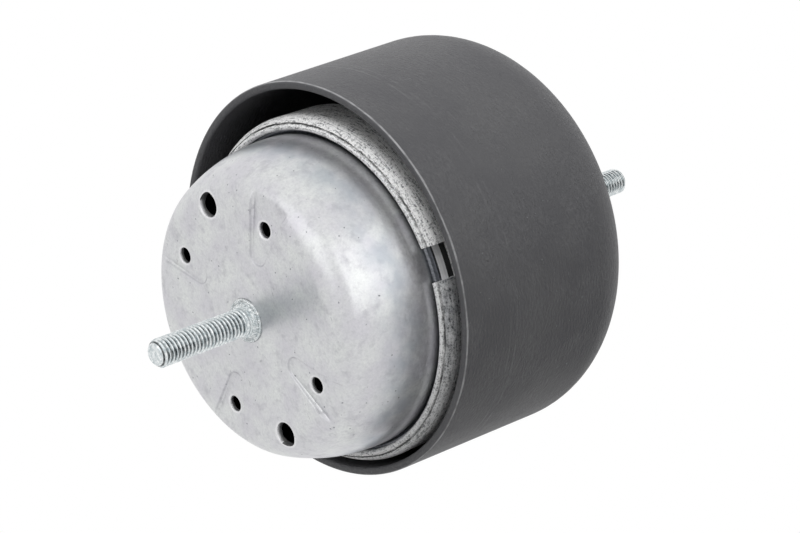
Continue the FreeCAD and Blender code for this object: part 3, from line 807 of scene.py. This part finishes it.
def threaded(z_foot, z_tip, z_run_out, name, under):
    """Stud: a rolled thread, round ends and a shoulder, as one outline turned about Z.

    The thread's radius at height z and angle a follows the phase z / pitch - a / 2 pi: crests are
    flat for an eighth of a pitch, roots are round, and between them the flanks are straight. The
    depth fades out at the shoulder, and the chamfer's cone caps the radius at the tip.
    """
    away = math.copysign(1, z_tip - z_foot)
    length = abs(z_tip - z_foot)
    rows = math.ceil(length / (THREAD_PITCH / 18))
    reach = np.linspace(0, length, rows + 1)
    angle = np.linspace(0, 2 * math.pi, 96, endpoint=False)
    z = z_foot + away * reach[:, None] + 0 * angle
    phase = np.abs((z / THREAD_PITCH - angle / (2 * math.pi)) % 1.0 - 0.5) * 2
    tooth = np.clip((phase - 0.16) / 0.66, 0, 1)
    tooth = smooth_step(tooth) * 0.5 + tooth * 0.5
    fade = smooth_step((reach[:, None] - z_run_out) / 1.0)
    radius = STUD_D / 2 - THREAD_DEPTH * (1 - tooth) * fade
    cone = STUD_POINT_D / 2 + (length - reach[:, None]) * (STUD_D - STUD_POINT_D) / 2 / STUD_CHAMFER
    radius = np.minimum(radius, cone)
    shank = np.stack([radius * np.cos(angle), radius * np.sin(angle), z], axis=-1)
    base = turned(np.array(under, float), 96)
    rough = smooth_step((COLLAR_D / 2 - np.array(under)[:, 0]) / 0.5) * (np.array(under)[:, 0] > 4.5)
    rough *= np.abs(np.array(under)[:, 1] - z_foot) < 1.4
    base[..., 2] += 0.07 * rough[:, None] * np.sin(34 * angle + 2 * np.sin(5 * angle))
    grids = [base, shank]
    tip = np.array([(STUD_POINT_D / 2 - 0.15, z_tip), (1.2, z_tip), (0, z_tip)])
    grids.append(turned(tip, 96))
    grid = np.concatenate(grids)
    if away < 0:
        grid = grid[::-1]
    return skin(name, grid, closed=False, sharp=50)


def shoulder_outline(z_seat, away):
    """Shoulder from its side past the seat to the thread: a low cone with a groove round it."""
    steps = [(0.0, COLLAR_SIDE), (0.2, 0.6), (0.5, 0.72), (0.75, 0.62), (0.95, 0.75), (1.3, 1.3),
             (1.6, COLLAR_H - 0.1), (1.9, COLLAR_H), (COLLAR_D / 2 - STUD_D / 2 - 0.05, COLLAR_H + 0.1)]
    return [(COLLAR_D / 2 - inward, z_seat + away * out) for inward, out in steps]


def lower_stud():
    """Stud through the can's face: head inside, shoulder and thread outside."""
    head_r, collar_r = STUD_HEAD_D / 2, COLLAR_D / 2
    head_z = CAN_SHEET + STUD_HEAD_T
    under = [(0, head_z), (head_r - 0.4, head_z), (head_r, head_z - 0.4), (head_r, CAN_SHEET + 0.2),
             (head_r - 0.2, CAN_SHEET), (collar_r, CAN_SHEET), (collar_r, 0)] + shoulder_outline(0, -1)
    return threaded(-COLLAR_H - 0.3, -STUD_LENGTH, 0.3, "lower_thread", under)


def upper_stud():
    """Stud out of the core, through the crown: plain foot, shoulder and thread."""
    collar_r = COLLAR_D / 2
    head_top = SEAT_Z - BELL_SHEET
    foot = head_top - UPPER_STUD_GRIP
    under = [(0, foot), (STUD_D / 2 - 0.4, foot), (STUD_D / 2, foot + 0.4), (STUD_D / 2, head_top),
             (collar_r, head_top), (collar_r, SEAT_Z)] + shoulder_outline(SEAT_Z, 1)
    return threaded(SEAT_Z + COLLAR_H + 0.3, SEAT_Z + STUD_LENGTH, 0.3, "upper_thread", under)


finishes = {
    "zinc_can": zinc_sheet(),
    "zinc_stud": zinc_stud(),
    "ring_steel": rolled_ring(),
    "cover_coat": dip_coat(),
    "cast_aluminium": cast_metal(),
    "plain_steel": phosphated(),
    "rubber": black_rubber(),
}

mount(lower_can(), "lower_can", finishes["zinc_can"])
mount(lower_stud(), "lower_stud", finishes["zinc_stud"])
mount(upper_stud(), "upper_stud", finishes["zinc_stud"])
mount(crimp_ring(), "crimp_ring", finishes["ring_steel"])
mount(bell_cover(), "bell_cover", finishes["cover_coat"])

slots = {row["node"]: row["material_slot"] for row in frame["record"]["subparts"]}
ring_finish = dull_zinc()
for node in ("core", "main_spring", "spring_sleeve", "track_plate_upper", "track_plate_lower",
             "decoupler_membrane", "plate_rivets", "diaphragm", "clamp_ring"):
    pieces = frame["nodes"][node]
    for piece in pieces if isinstance(pieces, list) else [pieces]:
        dress(piece, ring_finish if node == "clamp_ring" else finishes[slots[node]])


# Stage

def floor():
    """Wide plane under the camera: a pale matt board, nearly white to the camera and in mirrors."""
    corners = [(x * FLOOR_HALF, y * FLOOR_HALF, FLOOR_Z)
               for x, y in ((-1, -1), (1, -1), (1, 1), (-1, 1))]
    mesh = bpy.data.meshes.new("floor")
    mesh.from_pydata(corners, [], [(0, 1, 2, 3)])
    piece = bpy.data.objects.new("floor", mesh)
    bpy.context.scene.collection.objects.link(piece)
    finish, tree, shader, place = new_finish("pale_board", Roughness=0.9)
    tree.links.new(add(tree, "MixRGB", grain(tree, place, 40.0), "#E9E9E8", "#EFEFEE"),
                   shader.inputs["Base Color"])
    path = add(tree, "LightPath").node.outputs
    seen = add(tree, "Math", path["Is Glossy Ray"], path["Is Transmission Ray"], operation="MAXIMUM")
    seen = add(tree, "Math", seen, add(tree, "Math", path["Is Camera Ray"], 0.8, operation="MULTIPLY"),
               operation="MAXIMUM")
    white = add(tree, "Emission", "#FFFFFF", 1.0)
    mixed = add(tree, "MixShader", seen, shader.outputs[0], white)
    tree.links.new(mixed, tree.nodes["Material Output"].inputs["Surface"])
    dress(piece, finish)


def camera():
    """Camera at the photograph's place, turn and lens."""
    data = bpy.data.cameras.new("camera")
    data.lens = CAMERA_LENS
    data.sensor_width = SENSOR
    data.clip_start = 0.01
    piece = bpy.data.objects.new("camera", data)
    piece.location = [c * MM for c in CAMERA_PLACE]
    piece.rotation_euler = [math.radians(a) for a in CAMERA_TURN]
    bpy.context.scene.collection.objects.link(piece)
    bpy.context.scene.camera = piece
    bpy.context.view_layer.update()
    return piece


def soft_lamp(name, view, right, up, back, size, watts, mirrored=True):
    """Square soft lamp, placed in metres along the camera's axes and aimed at the object.

    One that isn't mirrored lights the matt surfaces and leaves no bright square on the metal.
    """
    data = bpy.data.lights.new(name, "AREA")
    data.size = size
    data.energy = watts
    piece = bpy.data.objects.new(name, data)
    piece.visible_glossy = mirrored
    piece.location = Vector(AIM) + view.matrix_world.to_3x3() @ Vector((right, up, back))
    piece.rotation_euler = (Vector(AIM) - piece.location).to_track_quat("-Z", "Y").to_euler()
    bpy.context.scene.collection.objects.link(piece)


def studio_world():
    """White for the camera and for mirrors and glass, and a softer grey for the light itself."""
    world = bpy.data.worlds.new("studio")
    world.use_nodes = True
    tree = world.node_tree
    tree.nodes.clear()
    path = add(tree, "LightPath").node.outputs
    seen = add(tree, "Math", path["Is Camera Ray"],
               add(tree, "Math", path["Is Glossy Ray"], path["Is Transmission Ray"],
                   operation="MAXIMUM"), operation="MAXIMUM")
    soft = add(tree, "Background", "#FFFFFF", 0.45)
    white = add(tree, "Background", "#FFFFFF", 1.0)
    add(tree, "OutputWorld", add(tree, "MixShader", seen, soft, white))
    bpy.context.scene.world = world


def shade_card():
    """Dark card bent round the object at a metre, out of the camera's sight, for contrast on metal."""
    columns = 32
    angle = np.radians(np.linspace(CARD_FROM, CARD_TO, columns))
    points = [np.stack([np.cos(angle), np.sin(angle), z + 0 * angle], axis=-1)
              for z in (CARD_LOW, CARD_HIGH)]
    quads = [(i, i + 1, i + 1 + columns, i + columns) for i in range(columns - 1)]
    mesh = bpy.data.meshes.new("shade_card")
    mesh.from_pydata(np.concatenate(points).tolist(), [], quads)
    piece = bpy.data.objects.new("shade_card", mesh)
    bpy.context.scene.collection.objects.link(piece)
    finish, tree, shader, place = new_finish("dark_felt", Roughness=0.9)
    tree.links.new(add(tree, "MixRGB", grain(tree, place, 20.0), "#3A3A3C", "#424244"),
                   shader.inputs["Base Color"])
    dress(piece, finish)
    piece.visible_camera = False


floor()
shade_card()
studio_world()
view = camera()
soft_lamp("key", view, 0.92, 0.42, 1.15, 1.3, 3.3)
soft_lamp("side", view, -0.8, 0.46, 1.15, 1.2, 2.2)
soft_lamp("wide", view, -0.25, 1.25, 0.8, 0.9, 13.5, mirrored=False)
bpy.context.scene.view_settings.view_transform = "Standard"
